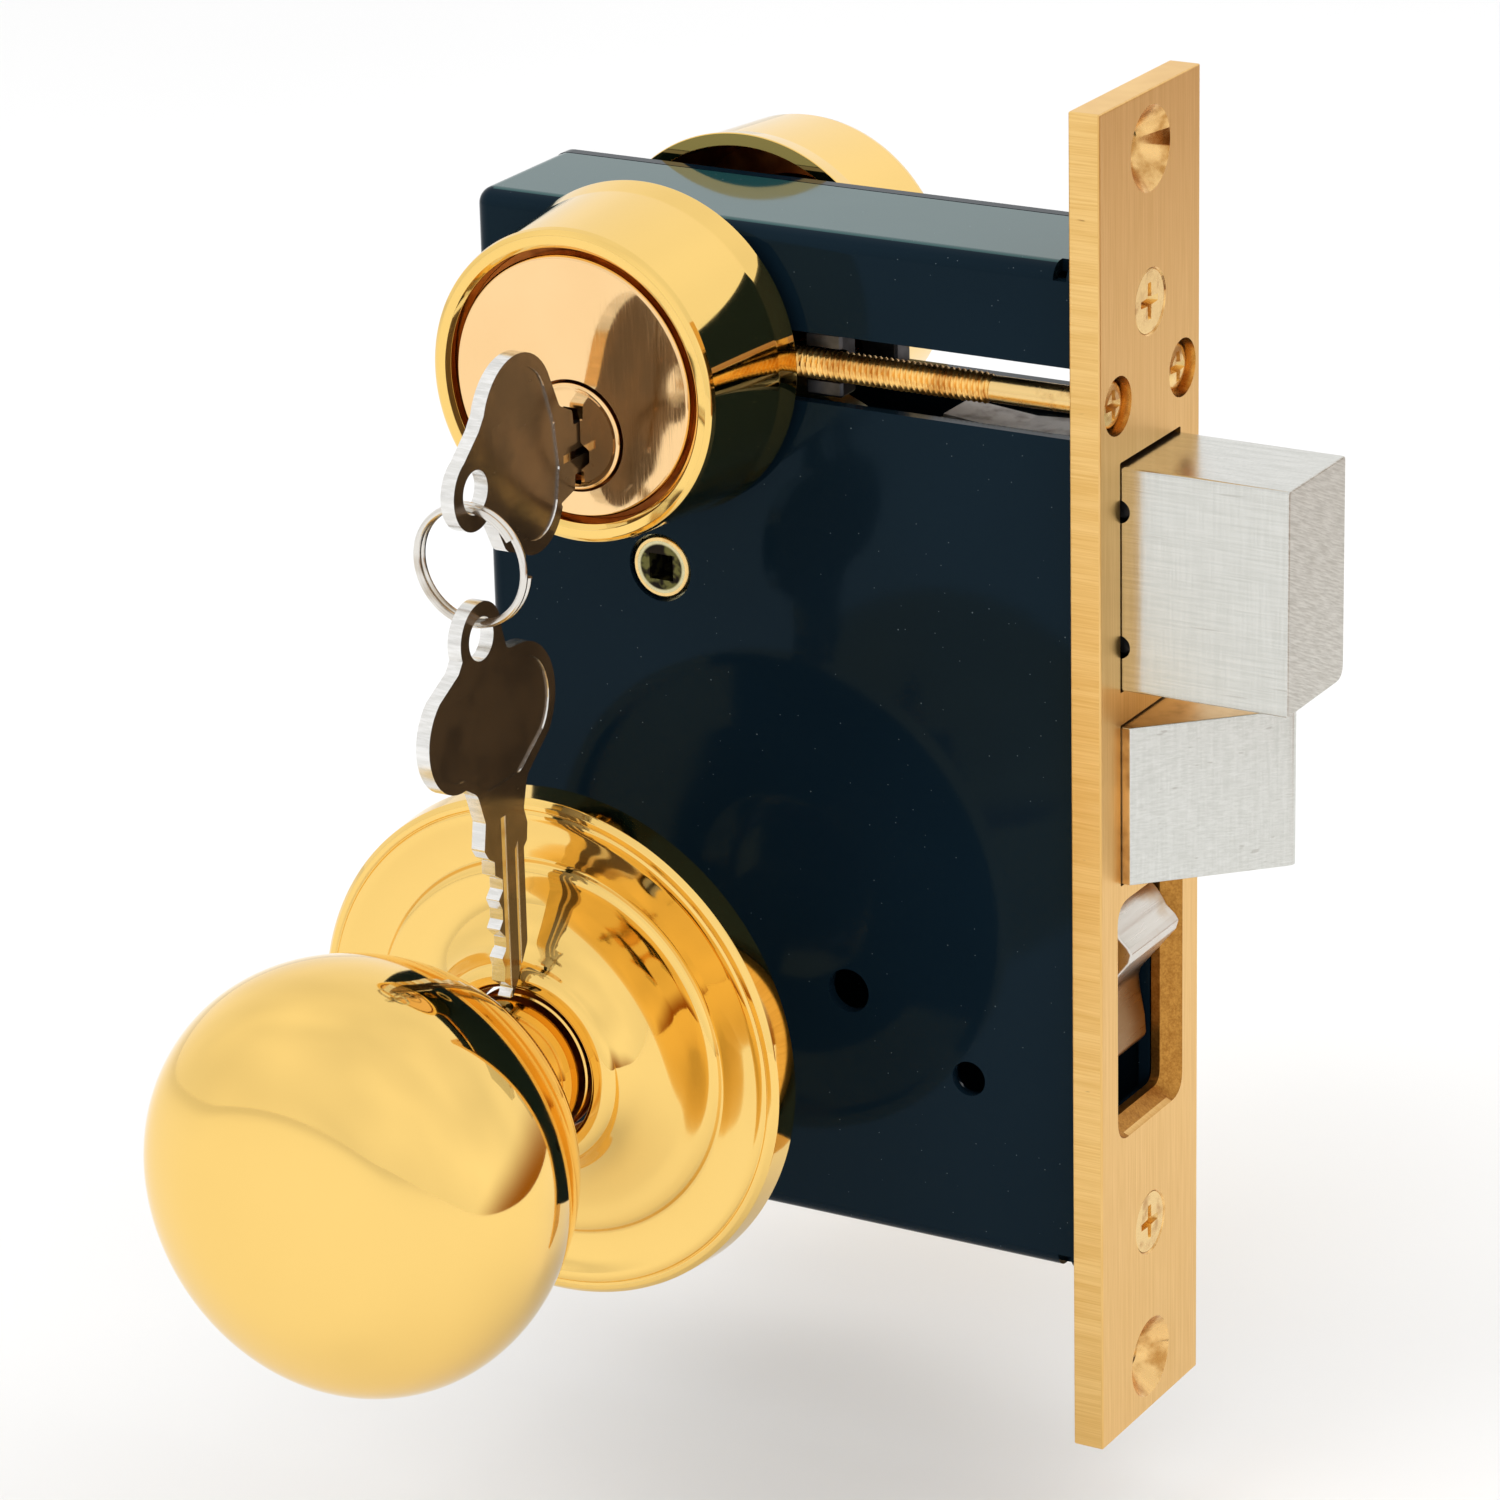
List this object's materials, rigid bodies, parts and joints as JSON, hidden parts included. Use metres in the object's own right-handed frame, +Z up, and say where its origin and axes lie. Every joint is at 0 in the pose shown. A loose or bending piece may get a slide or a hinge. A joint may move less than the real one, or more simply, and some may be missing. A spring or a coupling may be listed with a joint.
{
  "type": "mortise lock",
  "caption": "Entrance mortise lock: brass faceplate, enamelled steel case, deadbolt, latch, rocker stop, keyed cylinders in collars, and door knobs on rosettes.",
  "frame": {"origin": "centre of the faceplate's outer face, at mid height and mid width", "axes": "+X out of the door's edge, the way the bolts point; +Y through the door to the inner knob; +Z up. The case lies behind the faceplate, in -X"},
  "size_m": [0.139, 0.237, 0.2032],
  "materials": {
    "satin_brass": "brushed",
    "polished_brass": "polished",
    "brass_insides": "as cast",
    "satin_nickel": "satin nickel plate",
    "blue_enamel": "glossy enamel",
    "bare_steel": "bare",
    "dark_steel": "blackened",
    "spring_steel": "oiled"
  },
  "bodies": {
    "case": {"faceplate": "satin_brass", "case_pan": "blue_enamel", "case_cover": "blue_enamel", "post_rear_top": "dark_steel", "post_rear_low": "dark_steel", "post_front_top": "dark_steel", "post_front_low": "dark_steel", "cover_screw_rear_top": "bare_steel", "cover_screw_rear_low": "bare_steel", "cover_screw_front_top": "bare_steel", "cover_screw_front_low": "bare_steel", "armour_screw_top": "satin_brass", "armour_screw_low": "satin_brass", "faceplate_lug_top": "dark_steel", "faceplate_lug_low": "dark_steel", "set_screw_outer": "satin_brass", "set_screw_inner": "satin_brass", "set_screw_lug_outer": "dark_steel", "set_screw_lug_inner": "dark_steel", "collar_outer": "polished_brass", "collar_inner": "polished_brass", "cylinder_outer": "satin_brass", "cylinder_inner": "satin_brass", "plug_inner": "satin_brass", "cam_inner": "dark_steel", "cam_screw_inner": "bare_steel", "drag_spring": "spring_steel", "latch_guide": "bare_steel", "latch_spring": "spring_steel", "rocker_pin": "bare_steel", "stop_click_spring": "spring_steel", "rosette_outer": "polished_brass", "rosette_inner": "polished_brass"},
    "key_plug": {"plug_outer": "satin_brass", "cam_outer": "dark_steel", "cam_screw_outer": "bare_steel", "key_in_plug": "satin_nickel"},
    "ring": {"split_ring": "satin_nickel"},
    "hanging_key": {"hanging_key": "satin_nickel"},
    "deadbolt": {"deadbolt": "satin_nickel", "bolt_tail": "bare_steel", "hard_pin_high": "dark_steel", "hard_pin_low": "dark_steel", "bolt_rivet_front": "bare_steel", "bolt_rivet_rear": "bare_steel"},
    "thumb_turn": {"thumb_hub": "brass_insides"},
    "latch": {"latch_head": "satin_nickel", "latch_tail": "bare_steel", "latch_cross_pin": "bare_steel"},
    "outer_knob": {"hub_outer": "brass_insides", "spindle_outer": "bare_steel", "knob_outer": "polished_brass", "knob_screw_outer": "dark_steel"},
    "inner_knob": {"hub_inner": "brass_insides", "spindle_inner": "bare_steel", "knob_inner": "polished_brass", "knob_screw_inner": "dark_steel"},
    "rocker": {"stop_rocker": "satin_nickel"},
    "stop_slide": {"stop_slide": "bare_steel"}
  },
  "joints": [
    {"name": "key_turn", "type": "hinge", "parent": "case", "child": "key_plug", "pos_m": [-0.074, 0, 0.0513], "axis": [0, 1, 0], "range_deg": [0, 360]},
    {"name": "deadbolt_slide", "type": "slide", "parent": "case", "child": "deadbolt", "axis": [-1, 0, 0], "range_m": [0, 0.0254]},
    {"name": "thumb_turn", "type": "hinge", "parent": "case", "child": "thumb_turn", "pos_m": [-0.074, 0, 0.0244], "axis": [0, -1, 0], "range_deg": [0, 70.6]},
    {"name": "outer_knob_turn", "type": "hinge", "parent": "case", "child": "outer_knob", "pos_m": [-0.074, 0, -0.0385], "axis": [0, -1, 0], "range_deg": [0, 56.88], "stiffness_Nm_per_rad": 0.3, "springref_deg": -17.19},
    {"name": "inner_knob_turn", "type": "hinge", "parent": "case", "child": "inner_knob", "pos_m": [-0.074, 0, -0.0385], "axis": [0, -1, 0], "range_deg": [0, 57]},
    {"name": "latch_slide", "type": "slide", "parent": "case", "child": "latch", "axis": [-1, 0, 0], "range_m": [0, 0.01906], "deforming": ["latch_spring"]},
    {"name": "rocker_turn", "type": "hinge", "parent": "case", "child": "rocker", "pos_m": [-0.0085, 0, -0.035], "axis": [0, -1, 0], "range_deg": [0, 25]},
    {"name": "stop_slide_move", "type": "slide", "parent": "case", "child": "stop_slide", "axis": [-1, 0, 0], "range_m": [0, 0.003]},
    {"name": "ring_swing", "type": "hinge", "parent": "key_plug", "child": "ring", "pos_m": [-0.074, -0.0634, 0.0404], "axis": [0, 1, 0], "range_deg": [-12, 12]},
    {"name": "second_key_swing", "type": "hinge", "parent": "ring", "child": "hanging_key", "pos_m": [-0.074, -0.0634, 0.0318], "axis": [0, 1, 0], "range_deg": [-6, 6]}
  ],
  "couplings": [
    {"joint": "key_turn", "follows": "deadbolt_slide", "rad_per_m": 247.27},
    {"joint": "thumb_turn", "follows": "deadbolt_slide", "rad_per_m": 48.464},
    {"joint": "latch_slide", "follows": "outer_knob_turn", "m_per_rad": 0.019189},
    {"joint": "inner_knob_turn", "follows": "outer_knob_turn", "ratio": 1},
    {"joint": "rocker_turn", "follows": "stop_slide_move", "rad_per_m": 144.96}
  ]
}
